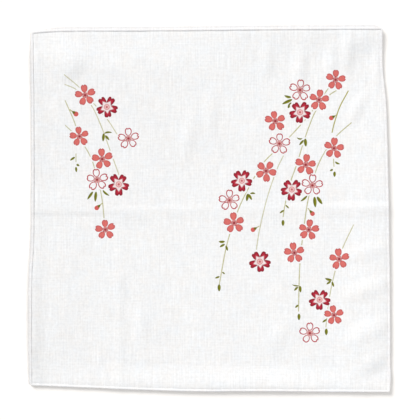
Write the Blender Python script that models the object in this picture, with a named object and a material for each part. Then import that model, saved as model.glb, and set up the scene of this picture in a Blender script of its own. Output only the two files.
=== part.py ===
"""A square gauze handkerchief, opened out and laid flat, with its rolled hem and its folds.

Metres, +Z up, +X to the right and +Y away, as one looks down on the cloth. The origin is at
the middle of its outline, on the surface that it lies on. The sheet is one solid: wherever
no fold lifts it, its underside is flat at z = 0.
"""

import math

import bmesh
import bpy

MM = 0.001

CLOTH = 1.2 * MM  # two layers of gauze and the air in them
GRID_CELLS = 50  # across each side, inside the hem

# Depths of the rolled hem, measured inwards from the cloth's edge.
HEM_SHOULDER = 0.7 * MM
HEM_CROWN = 1.5 * MM
HEM_SLOPE = 2.4 * MM
HEM_WIDTH = 3.1 * MM

# Heights above the underside of the cloth.
HEM_LOW = 0.6 * MM
HEM_SIDE = 1.5 * MM
HEM_TOP = 2.2 * MM
CORNER_ROUND = 0.8 * MM

# The four sides. Each station is a place along the side and the side's distance there, in mm.
LEFT = (
    (-171.4, -175.1),
    (-115, -175.6),
    (-75, -175.8),
    (-30, -173.8),
    (28, -172.9),
    (100, -172.9),
    (172.4, -173.6),
)
RIGHT = (
    (-178, 175.6),
    (-160, 175.8),
    (-80, 175.5),
    (-30, 174.7),
    (30, 173.8),
    (105, 171.7),
    (140, 168.4),
    (178, 168.2),
)
BOTTOM = (
    (-175.1, -171.4),
    (-105, -174.0),
    (-55, -175.7),
    (-10, -176.8),
    (40, -176.7),
    (100, -177.5),
    (175.6, -178),
)
TOP = ((-173.6, 172.4), (-160, 174.6), (-145, 175.8), (-60, 176.6), (40, 177.5), (168.2, 178))

# Long creases. Each runs across (along X) or up (along Y) and reaches half its width to
# either side of its crest. A station is a place along it, the crest and the rise, in mm.
CREASES = (
    # name, runs, half width, stations
    (
        "fold across the middle",
        "across",
        8,
        ((-173, 0, 0.5), (-110, -1, 0.9), (-20, 2.5, 0.8), (70, 3, 1.0), (130, 4, 1.8), (176, 5, 1.6)),
    ),
    (
        "quarter fold",
        "up",
        8,
        ((-178, -87, 0.5), (-60, -87, 0.5), (-15, -87, 0)),
    ),
    (
        "bottom hem lift",
        "across",
        28,
        ((-176, -176, 0.8), (-60, -178, 1.2), (20, -179, 1.7), (120, -179, 1.7), (176, -180, 1.2)),
    ),
    (
        "right hem lift",
        "up",
        44,
        ((-178, 180, 1.4), (-80, 180, 2.2), (60, 178, 1.8), (110, 174, 1.2), (178, 172, 1.0)),
    ),
    (
        "left hem lift",
        "up",
        20,
        ((-172, -176, 1.8), (-100, -178, 1.8), (-40, -176, 0.9), (60, -176, 0.5), (173, -176, 0.7)),
    ),
    (
        "top hem lift",
        "across",
        12,
        ((-174, 176, 0.7), (0, 179, 0.5), (90, 180, 0.9), (169, 180, 1.4)),
    ),
)

# Soft buckles. Each is centred at x and y and reaches half its length and half its width
# from there, in mm. Its long axis is turned from +X by so many degrees.
BUCKLES = (
    # name, x, y, half length, half width, turn, rise
    ("left of the middle fold", -16, 82, 44, 9, 88, 0.9),
    ("right of the middle fold", 4, 98, 34, 10, 92, 0.6),
    ("top fold, first", 59, 143, 20, 9, 92, 0.6),
    ("top fold, second", 90, 138, 24, 9, 90, 0.8),
    ("top fold, third", 118, 138, 26, 9, 90, 0.8),
    ("top fold, fourth", 138, 152, 30, 11, 88, 1.5),
    ("beside the right hem", 162, 134, 38, 6, 90, 0.9),
    ("right slant, upper", 136, 91, 20, 9, 32, 0.9),
    ("right slant, middle", 158, -79, 20, 8, 20, 1.0),
    ("right slant, lower", 156, -119, 25, 9, 28, 1.3),
    ("right slant, corner", 160, -149, 20, 9, 36, 1.5),
    ("lower middle dimple", 70, -127, 14, 11, 40, 0.7),
    ("lower left dimple", -67, -110, 20, 8, 104, 0.9),
    ("upper left swell", -139, 142, 30, 24, 40, 1.7),
    ("lower left swell", -146, -84, 74, 40, 96, 1.4),
)


def through(stations, at, column=1):
    """The value at one place on the smooth curve through the stations' first and chosen columns."""
    places = [row[0] for row in stations]
    values = [row[column] for row in stations]
    if at <= places[0]:
        return values[0]
    if at >= places[-1]:
        return values[-1]
    i = max(k for k, place in enumerate(places) if place <= at)
    last = len(places) - 1
    span = places[i + 1] - places[i]
    before, after = max(i - 1, 0), min(i + 2, last)
    slope_in = (values[i + 1] - values[before]) / (places[i + 1] - places[before])
    slope_out = (values[after] - values[i]) / (places[after] - places[i])
    t = (at - places[i]) / span
    rest = 1 - t
    ends = values[i] * rest * rest * (1 + 2 * t) + values[i + 1] * t * t * (3 - 2 * t)
    return ends + span * t * rest * (slope_in * rest - slope_out * t)


def round_bump(distance):
    """1 at the middle of a bump and exactly 0 from its rim outwards."""
    return 0.5 + 0.5 * math.cos(math.pi * distance) if distance < 1 else 0.0


def crease_rise(crease, x, y):
    _, runs, half_width, stations = crease
    along, across = (x, y) if runs == "across" else (y, x)
    crest = through(stations, along)
    return through(stations, along, column=2) * round_bump(abs(across - crest) / half_width)


def buckle_rise(buckle, x, y):
    _, centre_x, centre_y, half_length, half_width, turn, rise = buckle
    turned = math.radians(turn)
    dx, dy = x - centre_x, y - centre_y
    along = (dx * math.cos(turned) + dy * math.sin(turned)) / half_length
    across = (dy * math.cos(turned) - dx * math.sin(turned)) / half_width
    return rise * round_bump(math.hypot(along, across))


def lift(x, y):
    """How far the folds raise the underside at a place in metres."""
    at = x / MM, y / MM
    creased = sum(crease_rise(crease, *at) for crease in CREASES)
    return MM * (creased + sum(buckle_rise(buckle, *at) for buckle in BUCKLES))


def mixed(a, b, share):
    return a + (b - a) * share


def place_on_cloth(u, v):
    """The x and y in metres at the shares u of the width and v of the height."""
    bottom_y = through(BOTTOM, mixed(BOTTOM[0][0], BOTTOM[-1][0], u))
    top_y = through(TOP, mixed(TOP[0][0], TOP[-1][0], u))
    left_x = through(LEFT, mixed(LEFT[0][0], LEFT[-1][0], v))
    right_x = through(RIGHT, mixed(RIGHT[0][0], RIGHT[-1][0], v))
    return mixed(left_x, right_x, u) * MM, mixed(bottom_y, top_y, v) * MM


def hem_thickness(depth):
    """The cloth's height above its underside, so far in from its nearest edge."""
    profile = (
        (0, HEM_SIDE),
        (HEM_SHOULDER, mixed(HEM_SIDE, HEM_TOP, 0.8)),
        (HEM_CROWN, HEM_TOP),
        (HEM_SLOPE, mixed(CLOTH, HEM_TOP, 0.7)),
        (HEM_WIDTH, CLOTH),
    )
    for (near, low), (far, high) in zip(profile, profile[1:]):
        if depth <= far:
            return mixed(low, high, (depth - near) / (far - near))
    return CLOTH


def grid_lines(side):
    """Shares of a side where the mesh has a line: close together in the hem, even elsewhere."""
    hem = [0, HEM_SHOULDER, HEM_CROWN, HEM_SLOPE]
    inside = side - 2 * HEM_WIDTH
    even = [HEM_WIDTH + inside * i / GRID_CELLS for i in range(GRID_CELLS + 1)]
    return [d / side for d in hem + even] + [1 - d / side for d in reversed(hem)]


def cloth_mesh():
    side = (RIGHT[0][1] - LEFT[0][1]) * MM
    lines = grid_lines(side)
    last = len(lines) - 1
    shell = bmesh.new()
    rows = []
    for v in lines:
        rows.append([shell.verts.new((*place_on_cloth(u, v), 0)) for u in lines])
    for low, high in zip(rows, rows[1:]):
        for i in range(last):
            shell.faces.new((low[i], low[i + 1], high[i + 1], high[i]))
    for row in (rows[0], rows[-1]):
        for corner in (row[0], row[-1]):
            corner.co.x -= math.copysign(CORNER_ROUND, corner.co.x)
            corner.co.y -= math.copysign(CORNER_ROUND, corner.co.y)
    depths = {
        vert: side * min(lines[i], 1 - lines[i], lines[j], 1 - lines[j])
        for j, row in enumerate(rows)
        for i, vert in enumerate(row)
    }
    top_of = {}
    for vert, depth in depths.items():
        rise = lift(vert.co.x, vert.co.y)
        top_of[vert.co.x, vert.co.y] = rise + hem_thickness(depth)
        vert.co.z = rise + (HEM_LOW if depth <= 0 else 0)
    upper = bmesh.ops.extrude_face_region(shell, geom=shell.faces[:])["geom"]
    for vert in (item for item in upper if isinstance(item, bmesh.types.BMVert)):
        vert.co.z = top_of[vert.co.x, vert.co.y]
    bmesh.ops.recalc_face_normals(shell, faces=shell.faces)
    mesh = bpy.data.meshes.new("handkerchief")
    shell.to_mesh(mesh)
    shell.free()
    mesh.shade_smooth()
    return mesh


def gauze_material():
    gauze = bpy.data.materials.new("white gauze")
    gauze.use_nodes = True
    shader = gauze.node_tree.nodes["Principled BSDF"]
    shader.inputs["Base Color"].default_value = (0.9, 0.9, 0.92, 1)
    shader.inputs["Roughness"].default_value = 0.9
    shader.inputs["Metallic"].default_value = 0
    return gauze


def main():
    for thing in list(bpy.data.objects):
        bpy.data.objects.remove(thing, do_unlink=True)
    cloth = bpy.data.objects.new("handkerchief", cloth_mesh())
    cloth.data.materials.append(gauze_material())
    bpy.context.scene.collection.objects.link(cloth)


main()
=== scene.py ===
"""The looks of a printed gauze handkerchief: its cloth, its print, its rolled hem and the stage.

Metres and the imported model's own frame: +Z up, +X to the right and +Y away, as one looks down
on the cloth. The tables below are in millimetres. Their outline and folds follow those of the
solid that the cloth stands for, and are finer.
"""

import math

import bpy
import numpy as np
from bpy.props import FloatProperty, FloatVectorProperty, IntProperty, PointerProperty
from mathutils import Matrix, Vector, noise


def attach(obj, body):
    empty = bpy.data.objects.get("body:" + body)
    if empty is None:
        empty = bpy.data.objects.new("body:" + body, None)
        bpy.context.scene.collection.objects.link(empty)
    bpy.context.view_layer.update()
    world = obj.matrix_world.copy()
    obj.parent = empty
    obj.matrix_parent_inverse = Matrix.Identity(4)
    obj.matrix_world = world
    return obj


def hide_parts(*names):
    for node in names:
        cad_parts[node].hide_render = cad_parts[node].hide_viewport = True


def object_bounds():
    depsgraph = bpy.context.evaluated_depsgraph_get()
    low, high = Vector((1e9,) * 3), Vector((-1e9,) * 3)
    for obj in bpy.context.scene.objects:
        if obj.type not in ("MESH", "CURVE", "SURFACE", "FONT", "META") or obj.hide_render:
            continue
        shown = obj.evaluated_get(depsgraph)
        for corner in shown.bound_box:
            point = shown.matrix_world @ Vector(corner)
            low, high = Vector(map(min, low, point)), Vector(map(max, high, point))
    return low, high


bl_info = {
    "name": "Printed gauze handkerchief",
    "version": (1, 0, 0),
    "blender": (4, 5, 0),
    "location": "View3D > Sidebar > Handkerchief",
    "description": "Lays out, prints and hems a gauze handkerchief",
    "category": "Add Mesh",
}

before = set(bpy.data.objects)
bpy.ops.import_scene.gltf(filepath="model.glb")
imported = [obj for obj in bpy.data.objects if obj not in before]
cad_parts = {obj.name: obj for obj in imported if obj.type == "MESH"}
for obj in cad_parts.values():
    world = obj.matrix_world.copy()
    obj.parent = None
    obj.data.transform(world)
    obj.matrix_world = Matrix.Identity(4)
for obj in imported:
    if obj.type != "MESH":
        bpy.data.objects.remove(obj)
CAD_LOW, CAD_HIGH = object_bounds()
CAD_NODE = "handkerchief"
CAD_BODY = "root"

MM = 0.001

# The four sides. Each station is a place along the side and the side's distance there, in mm.
LEFT = (
    (-171.4, -174.0),
    (-115, -174.2),
    (-70, -174.0),
    (-33, -172.3),
    (28, -171.9),
    (110, -172.0),
    (172.4, -173.0),
)
RIGHT = (
    (-178, 175.6),
    (-160, 175.8),
    (-80, 175.5),
    (-30, 174.7),
    (30, 173.8),
    (105, 171.7),
    (140, 168.4),
    (178, 168.2),
)
BOTTOM = (
    (-175.1, -171.4),
    (-105, -174.3),
    (-55, -176.2),
    (-10, -177.3),
    (40, -177.1),
    (100, -177.5),
    (175.6, -178),
)
TOP = (
    (-173.6, 172),
    (-160, 173.5),
    (-140, 174.3),
    (-60, 174.7),
    (40, 175.6),
    (100, 176.0),
    (168.2, 176.1),
)
SIDE = RIGHT[0][1] - LEFT[0][1]

# Long creases. Each runs across (along X) or up (along Y). It reaches the first half width
# below or left of its crest, and the second one above or right of it. A station is a place
# along it, the crest and the rise, in mm.
CREASES = (
    # name, runs, half width before, half width after, stations
    (
        "fold across the middle",
        "across",
        14,
        5,
        (
            (-125, -1, 0),
            (-90, -1, 0.3),
            (-20, 0, 0.35),
            (20, 0.5, 0.2),
            (60, 1, 0.35),
            (110, 2, 0.4),
            (140, 2.5, 0.8),
            (176, 3, 0.8),
        ),
    ),
    (
        "its end on the left",
        "across",
        5,
        32,
        ((-176, -2, 0.6), (-110, -2, 0.55), (-85, -1, 0.1), (-60, -1, 0)),
    ),
    (
        "quarter fold",
        "up",
        8,
        8,
        ((-178, -87, 0.5), (-60, -87, 0.5), (-15, -87, 0)),
    ),
    (
        "bottom hem lift",
        "across",
        15,
        22,
        (
            (-176, -171, 0.2),
            (-60, -171, 1.2),
            (0, -172, 1.9),
            (60, -172, 2.1),
            (110, -173, 1.6),
            (176, -175, 0.6),
        ),
    ),
    (
        "right hem lift",
        "up",
        16,
        16,
        ((-178, 180, 1.0), (-80, 180, 0.6), (60, 178, 0.6), (110, 174, 0.9), (178, 172, 0.9)),
    ),
    (
        "hem standing at the upper left",
        "across",
        6,
        12,
        ((-176, 175, 0.9), (-150, 177, 1.1), (-110, 178, 0.5), (-80, 178, 0)),
    ),
    (
        "swell under the top hem",
        "across",
        120,
        38,
        ((-176, 138, 2.2), (-90, 138, 1.9), (0, 138, 0.9), (50, 138, 0.2), (80, 138, 0)),
    ),
    (
        "lower left fall",
        "up",
        14,
        70,
        ((-176, -172, 0.1), (-120, -172, 1.0), (-40, -172, 0.8), (40, -172, 0)),
    ),
    (
        "right swell",
        "up",
        50,
        16,
        (
            (-160, 163, 0.8),
            (-110, 166, 1.8),
            (-40, 167, 2.3),
            (10, 167, 2.3),
            (60, 166, 1.6),
            (120, 160, 0.1),
        ),
    ),
    (
        "left hem lift",
        "up",
        20,
        21,
        (
            (-172, -176, 0.5),
            (-130, -177, 3.2),
            (-85, -177, 2.7),
            (-40, -176, 1.4),
            (60, -176, 1.0),
            (173, -176, 0.8),
        ),
    ),
    (
        "top hem lift",
        "across",
        40,
        12,
        ((-174, 174, 0.2), (-30, 178, 0.2), (30, 179, 0.8), (90, 180, 1.3), (169, 180, 1.8)),
    ),
)

# Soft buckles. Each is centred at x and y and reaches half its length and half its width
# from there, in mm. Its long axis is turned from +X by so many degrees. Its crest lies on that
# axis, or beside it by its lean: so many half widths to the left of it, or to the right below 0.
BUCKLES = (
    # name, x, y, half length, half width, turn, rise, lean
    ("left of the middle fold", -20, 70, 40, 11, 80, 1.0, 0),
    ("right of the middle fold", 2, 94, 30, 10, 94, 1.0, 0),
    ("top fold, first", 56, 144, 24, 10, 92, 1.3, 0),
    ("top fold, second", 88, 136, 31, 11, 90, 1.7, 0),
    ("top fold, third", 118, 140, 30, 9, 90, 1.2, 0),
    ("top fold, fourth", 134, 152, 30, 10, 88, 1.7, 0),
    ("top right corner", 150, 166, 24, 20, 45, 1.0, 0),
    ("beside the right hem", 162, 134, 38, 7, 90, 1.0, 0),
    ("right slant, upper", 143, 97, 27, 10, 62, 1.1, 0),
    ("right slant, faint", 150, -42, 34, 12, 14, 0.8, 0),
    ("right slant, middle", 152, -78, 34, 14, 18, 1.1, 0),
    ("right slant, lower", 151, -119, 36, 15, 27, 1.4, 0),
    ("right slant, corner", 156, -151, 28, 13, 32, 0.9, 0),
    ("corner swell", 154, -138, 40, 26, 40, 1.2, 0),
    ("lower middle dimple", 66, -124, 24, 14, 62, 0.8, 0),
    ("lower left dimple", -66, -111, 26, 10, 100, 1.3, 0),
    ("upper left swell", -146, 151, 25, 34, 45, 1.8, -0.5),
    ("lower left swell", -146, -84, 74, 40, 96, 0.7, 0),
)

# The sheet ends inside the roll, and its mesh lines are close together there, so many mm from
# its end.
SHEET_END = 0.45  # how far in from the cloth's edge, as a share of the roll's width
HEM_LINES = (0, 0.7, 1.3, 1.8, 2.2, 2.7, 3.4, 4.4, 5.6)

# The groove that the hem's stitches press into the sheet, in mm in from the cloth's edge.
GROOVE_AT = 2.2
GROOVE_REACH = (0.6, 4.0)  # towards the hem and into the cloth
GROOVE_RIGHT = (150, 165, 2.2)  # from, to, and how far into the cloth it reaches from there on
GROOVE_EASE = 0.35  # how much shallower it is on the left and at the top
EASE_BAND = 8  # over how many mm that changes at the two corners between

# Bumps all over the cloth, in shares of its crinkle. Sizes are in mm.
CRINKLES = (
    # share, size along X, size along Y, seed
    (2.1, 34, 55, 1.3),
    (0.55, 16, 30, 3.1),
    (0.25, 7, 10, 8.7),
    (0.2, 3.6, 5.5, 5.9),
)

# Ripples along the hem, in mm.
PUCKER_SPACING = 13
PUCKER_REACH = 6  # into the cloth
PUCKER_GROUPS = 26  # size of the groups that they come in

# The hem's line, before it is divided evenly.
ROUTE_POINTS = 1200  # on each side
CORNER_SMOOTHINGS = 14  # each takes the mean of every three points that follow each other

# The roll is a tube of hoops along the hem. Each hoop's points run from its outermost upper
# one over the crown, down the inner side and back under it to its outermost lower one.
HOOP_STEP = 0.31  # mm
HOOP_POINTS = 12
HOOP_ROUNDNESS = 0.62  # 1 is round and 0 is square
ROLL_RISE = 0.05  # how far its underside lies above that of the folds, in mm

# The heights of those two outermost points, as shares of half its height above its middle.
LIP_SHARES = (-0.15, -0.4)
LOOP_POINTS = 2  # the last points of each hoop, drawn out into the thread loops beside the roll
LEFT_LOOPS = 0.55  # their length on the left, as a share of that at the top
# The thread loops carry painted shade, and the roll's upper lip point carries this smaller share of it:
# their colour is darkened to stand in for the shade beside the roll.
UPPER_LIP_SHADE = 0.4  # as a share of the shade on the loops

# Corners towards which the loops grow shorter.
LOOP_ENDS = (
    # x, y, how near to it
    (LEFT[-1][1], TOP[0][1], 30),
    (RIGHT[-1][1], TOP[-1][1], 9),
)

# How the roll's width and height vary along the hem, as shares of its own.
ROLL_NOISE = (
    # size along the hem, seed, width, height
    (9, 2.2, 0.30, 0.24),
    (2.1, 7.3, 0.16, -0.12),
)

# Places where the rolled hem is fatter: in the lower right corner, and where its sewing ends.
HEM_LUMPS = (
    # x, y, reach along the hem, added width, added height
    (177, -162, 14, 0.42, 0.15),
    (149, -178, 3, 0.25, 0.2),
    (-70, 178, 4, 0.12, 0.1),
)

# The form of a blossom. Lengths are in its radii and turns in radians.
PETAL_TURN = 2 * math.pi / 5
PETAL_MIDDLE = 0.65
PETAL_HALF_LENGTH = 0.385
PETAL_HALF_WIDTH = 0.315
ANTHER_TURN = 2 * math.pi / 6
BLOSSOM_REACH = 1.35  # how far from its middle its marks go

# The print. A blossom is filled, shaded or outlined. Its first petal points so many degrees
# from +X, and its petals reach out to its radius, in mm.
FILLED, SHADED, OUTLINED = 1, 2, 3
BLOSSOMS = (
    # kind, x, y, turn, radius
    (FILLED, -120.5, 110.5, 101, 9.9),
    (FILLED, -126, 70.5, 99, 9.3),
    (FILLED, -104, 48.5, 99, 10.1),
    (FILLED, -101, -20, 96, 9.4),
    (FILLED, 122.5, 125.5, 85, 9.5),
    (FILLED, 106.5, 106, 85, 9.9),
    (FILLED, 64, 85.5, 97, 10.0),
    (FILLED, 121, 59, 83, 9.8),
    (FILLED, 93.5, 43, 83, 10.1),
    (FILLED, 55, 37, 131, 10.0),
    (FILLED, 24, -13.5, 96, 10.1),
    (FILLED, 96.5, -20, 85, 9.7),
    (FILLED, 82.5, -42.5, 98, 9.7),
    (FILLED, 126, -48.5, 95, 9.8),
    (FILLED, 121, -103, 98, 9.2),
    (SHADED, -99.5, 99, -86, 9.9),
    (SHADED, -88, 24, -87, 10.3),
    (SHADED, 88, 94, -90, 10.4),
    (SHADED, 80, 19, -91, 10.2),
    (SHADED, 31.5, 27.5, -88, 10.1),
    (SHADED, 49, -51, -88, 10.2),
    (SHADED, 107, -88, -90, 9.8),
    (OUTLINED, -78.5, 68.5, 95, 9.7),
    (OUTLINED, -109, 28.5, 95, 10.1),
    (OUTLINED, 88, 115.5, 89, 10.0),
    (OUTLINED, 68, 63.5, 90, 10.0),
    (OUTLINED, 100, 23, 89, 10.0),
    (OUTLINED, 19.5, 8.5, 93, 10.0),
    (OUTLINED, 97.5, -120.5, 94, 10.0),
)

# Stems hang in smooth curves through a few places each, printed more or less strongly.
STEM_REACH = 2.2  # how far from a stem's middle its marks go, in mm
STEM_LEAD = 1.5  # how far before its start they begin, in mm
STEM_BOX = 3  # how far round a stem its faces are looked for, in mm
STEMS = (
    # strength, places
    (0.8, ((-141, 130.5), (-124.5, 116.5), (-110.5, 100.5), (-99, 87), (-89.5, 72.5))),
    (0.8, ((-140.5, 121), (-128.5, 115.5), (-114.5, 100.5), (-105, 80.5), (-96, 56), (-87.5, 32.5))),
    (0.9, ((-140, 105.5), (-131.5, 86), (-128, 75.5))),
    (0.9, ((-140, 81.5), (-126, 67.5), (-115.5, 51), (-108.5, 29.5), (-104, 8.5), (-102, -12))),
    (0.9, ((-129.5, 54), (-129.5, 45.5))),
    (
        1.0,
        (
            (116, 118),
            (100.5, 96),
            (88, 81),
            (70, 62),
            (52.5, 45),
            (40, 24),
            (28.5, 0.5),
            (17.5, -32.5),
            (9.5, -73.5),
        ),
    ),
    (1.0, ((125, 116), (117, 111), (103.5, 95.5), (96.5, 79.5), (93, 69.5))),
    (1.0, ((90.5, 62), (84.5, 42.5), (79, 27), (73.5, 4.5), (71.5, -8))),
    (2.0, ((135, 115), (126.5, 99), (121, 82.5), (119, 74))),
    (
        1.0,
        (
            (138, 84),
            (123, 70.5),
            (110, 52),
            (102.5, 34.5),
            (96.5, 12),
            (93.5, -5),
            (88, -52),
            (86.5, -99.5),
        ),
    ),
    (1.0, ((120.5, 49), (121, 41))),
    (0.85, ((140, -15), (129.5, -37.5), (122.5, -58.5), (116.5, -86), (113, -115))),
    (0.8, ((72, 52), (65.5, 38.5), (56, 10.5), (48.5, -21), (45.5, -40))),
)

# Leaves and buds grow from a place on a stem, turned so many degrees from +X.
LEAF, BUD = 1, 2
LEAF_MARGINS = (0.05, 0.2)  # of its marks along and beside it, in lengths and half widths
LEAVES = (
    # kind, x, y, turn, length, width, sag
    (LEAF, -102.5, 73.5, -95, 8, 2.8, 0),
    (LEAF, -101, 71.5, -50, 6, 2.3, 0),
    (LEAF, -102, 73.5, 5, 7.5, 1.9, 0.8),
    (LEAF, -130.5, 50.5, -145, 5.8, 2.2, 0),
    (LEAF, -129, 43.5, -30, 3.3, 2.2, 0),
    (LEAF, -129.5, 41, -85, 5.3, 2.2, 0),
    (LEAF, -113, 17, -125, 9.5, 2.6, 0),
    (LEAF, -110, 17, -95, 10, 3, 0),
    (LEAF, -103.5, 18.5, -40, 8.5, 2.2, -0.7),
    (LEAF, 79.5, 108.5, 165, 7, 2.6, 0.5),
    (LEAF, 80.5, 106.5, -155, 11, 3, 0),
    (LEAF, 79.5, 103.5, -120, 6.5, 3, 0),
    (LEAF, 90.5, 68.5, 170, 5.8, 1.6, 1.0),
    (LEAF, 91.5, 67, -130, 6.5, 2.3, 0),
    (LEAF, 93, 68.5, -85, 8, 3.2, 0),
    (LEAF, 122, 46, -25, 5.3, 2, -0.5),
    (LEAF, 120, 38.5, -155, 3.3, 2, 0),
    (LEAF, 121.5, 36.5, -90, 5.3, 2.8, 0),
    (LEAF, 95, 13, -140, 8.5, 2.2, 0.4),
    (LEAF, 102, 12, -85, 10.5, 3.5, 0),
    (LEAF, 104.5, 12, -55, 9, 3.2, 0),
    (LEAF, 37.5, 15, -100, 7.5, 3, 0),
    (LEAF, 38, 14.5, -60, 6.5, 2.6, 0),
    (LEAF, 39.5, 15, 0, 5.3, 1.9, 0.5),
    (LEAF, 15, -31.5, 180, 6, 2.6, 0.4),
    (LEAF, 15, -34, -150, 5.8, 2.3, 0),
    (LEAF, 16, -35.5, -70, 5.3, 2.3, 0),
    (LEAF, 12.5, -61, -40, 3.3, 1.6, 0),
    (LEAF, 10, -65.5, -160, 4.8, 1.9, 0),
    (LEAF, 9.5, -73, -90, 7, 3.2, 0),
    (LEAF, 74, 4, -45, 4.8, 1.6, 0),
    (LEAF, 72.5, -1, -145, 5.3, 1.9, 0),
    (LEAF, 71.5, -10.5, -90, 6, 3, 0),
    (LEAF, 87, -74.5, 170, 7, 1.4, 0.5),
    (LEAF, 86, -75.5, -135, 5.3, 2.2, 0),
    (LEAF, 88, -74.5, -85, 6.5, 2.6, 0),
    (LEAF, 86.5, -93, -140, 4.3, 2, 0),
    (LEAF, 87, -101.5, -90, 6.5, 3, 0),
    (LEAF, 119, -69, 165, 7, 2.6, 0.4),
    (LEAF, 118, -70, -145, 5.3, 2.2, 0),
    (LEAF, 119, -70.5, -70, 5.3, 2.2, 0),
    (LEAF, 114, -107, -145, 5.3, 2, 0),
    (LEAF, 113.5, -116, -90, 6.5, 3.2, 0),
    (BUD, -135.5, 96.5, -35, 10, 5, 0),
    (BUD, -103.5, 6, -140, 10, 4.6, 0),
    (BUD, 124.5, 92, -150, 9.5, 4.6, 0),
    (BUD, 95.5, 1, -50, 9.5, 4.6, 0),
    (BUD, 48.5, -16.5, -150, 9.5, 4.6, 0),
)

# Marks on the cloth's corners that the print's shader reads.
BLOSSOM_MARK = "blossom"
STEM_MARKS = ("stem_first", "stem_second")
LEAF_MARKS = ("leaf_first", "leaf_second", "leaf_third")
SHOWS_MARK = "print_shows"
EXPORT_MAP = "OFBake"
NUMBER_STEP = 10  # a mark holds its kind plus this many times its number
FAR_OFF = 99
UNDERSIDE_SHOWS = 0.4  # how strongly the print shows there

# The map of the sheet, in shares of its side: the top above, the underside below, and the rim
# as a thin frame round the top.
MAP_MARGIN = 0.005
MAP_TOP = (0.30, 0.99)
MAP_UNDER = (0.005, 0.285)

# The blossom's and the leaf's colour sockets, and the inks that they take.
INK_NAMES = {
    "Salmon": "salmon",
    "Salmon rim": "salmon_rim",
    "Crimson": "crimson",
    "Crimson rim": "crimson_rim",
    "Line": "line",
    "Heart": "heart",
    "Disc": "disc",
}
LEAF_INK_NAMES = {"Leaf": "leaf", "Pale leaf": "leaf_pale", "Bud": "bud", "Stem": "stem"}

# The stage. A light comes from a bearing in degrees from +X and a height in degrees above the
# floor.
WHITE_LEVEL = 1.15  # what the stage's light makes of a pure white surface
KEY_FROM = (127, 33)
KEY_COLOUR = (1.0, 0.986, 0.972)
FILL_FROM = (350, 68)
FILL_COLOUR = (1.0, 0.995, 0.99)
FILL_AWAY = 4.0  # metres
SKY_COLOUR = (1.0, 0.993, 0.99)
FLOOR_COLOURS = ((0.927, 0.911, 0.893), (0.937, 0.921, 0.903))
FLOOR_SIZE = 6  # metres
FLOOR_GAP = 0.05 * MM


def dye(red, green, blue):
    """The colour of a cloth that the stage's light shows at these sRGB levels, from 0 to 255."""

    def linear(level):
        share = level / 255
        return share / 12.92 if share <= 0.04045 else ((share + 0.055) / 1.055) ** 2.4

    return tuple(min(linear(level) / WHITE_LEVEL, 0.98) for level in (red, green, blue))


def size(label, description, default, low, high, unit="LENGTH"):
    return FloatProperty(
        name=label, description=description, default=default, min=low, max=high, precision=5, unit=unit
    )


def shade_of(label, description, default):
    return FloatVectorProperty(
        name=label, description=description, default=default, min=0, max=1, size=3, subtype="COLOR"
    )


class ClothSizes(bpy.types.PropertyGroup):
    cells: IntProperty(
        name="Cells", description="Mesh cells along each side of the cloth", default=188, min=20, max=210
    )
    thickness: size("Thickness", "Two layers of gauze and the air in them", 1.2 * MM, 0.5 * MM, 3 * MM)
    crinkle: size("Crinkle", "Height of the fine unevenness all over the cloth", 0.34 * MM, 0, 2 * MM)
    groove: size("Groove", "How deep the hem's stitches press the cloth", 0.42 * MM, 0, 1 * MM)
    pucker: size("Pucker", "Height of the ripples along the hem", 0.3 * MM, 0, 2 * MM)
    thread: size("Thread", "Distance from one thread to the next", 0.62 * MM, 0.2 * MM, 2 * MM)
    white: shade_of("White", "The bleached gauze", dye(247, 248, 249))


class HemSizes(bpy.types.PropertyGroup):
    width: size("Width", "Width of the rolled edge", 2.1 * MM, MM, 6 * MM)
    height: size("Height", "Height of the rolled edge", 2.1 * MM, MM, 5 * MM)
    stitch: size("Stitch", "Distance from one stitch to the next", 1.3 * MM, 0.5 * MM, 5 * MM)
    bite: FloatProperty(
        name="Bite", description="How deep the stitches pull into the roll", default=0.09, min=0, max=0.4
    )
    lip: size("Lip", "How far the thread loops stand out at the top", 2.4 * MM, 0, 3 * MM)
    # Painted shade: the colour of the thread loops beside the roll is darkened by this share, standing
    # in for the shade that falls on them.
    shade: FloatProperty(
        name="Shade", description="How much darker the thread loops are", default=0.06, min=0, max=1
    )
    white: shade_of("White", "The roll and its thread", dye(246, 246, 247))


class PrintInks(bpy.types.PropertyGroup):
    stem_width: size("Stem width", "Width of the printed stems", 1.1 * MM, 0.2 * MM, 3 * MM)
    salmon: shade_of("Salmon", "Petals of the filled blossoms", dye(220, 113, 107))
    salmon_rim: shade_of("Salmon rim", "Edges of those petals", dye(190, 80, 82))
    crimson: shade_of("Crimson", "Petals of the shaded blossoms", dye(188, 40, 60))
    crimson_rim: shade_of("Crimson rim", "Edges of those petals", dye(142, 24, 42))
    line: shade_of("Petal line", "Lines of the outlined blossoms", dye(186, 70, 78))
    heart: shade_of("Heart", "Dots and stamens in the middle of a blossom", dye(146, 34, 46))
    disc: shade_of("Disc", "Pale middle of the shaded blossoms", dye(243, 204, 202))
    stem: shade_of("Stem", "Stems and stalks", dye(176, 172, 98))
    leaf: shade_of("Leaf", "Leaves and calyxes", dye(108, 110, 18))
    leaf_pale: shade_of("Pale leaf", "The lighter half of a leaf", dye(146, 148, 40))
    bud: shade_of("Bud", "Closed blossoms", dye(212, 98, 92))


class StageSettings(bpy.types.PropertyGroup):
    key: size("Key light", "Strength of the light from the upper left", 2.70, 0, 20, "NONE")
    fill: size("Fill light", "Strength of the light from the right", 0.97, 0, 20, "NONE")
    sky: size("Sky", "Strength of the soft light from all sides", 0.43, 0, 10, "NONE")
    softness: size("Softness", "Width of each light", math.radians(30), 0, 3, "ROTATION")
    lens: FloatProperty(name="Lens", description="Focal length in mm", default=135, min=20, max=400)
    view_width: size("View width", "Width of the floor that the camera shows", 0.4082, 0.1, 3)
    aim_x: size("Aim X", "Where the camera points, across", 0.6 * MM, -1, 1)
    aim_y: size("Aim Y", "Where the camera points, away", -0.9 * MM, -1, 1)


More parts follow.
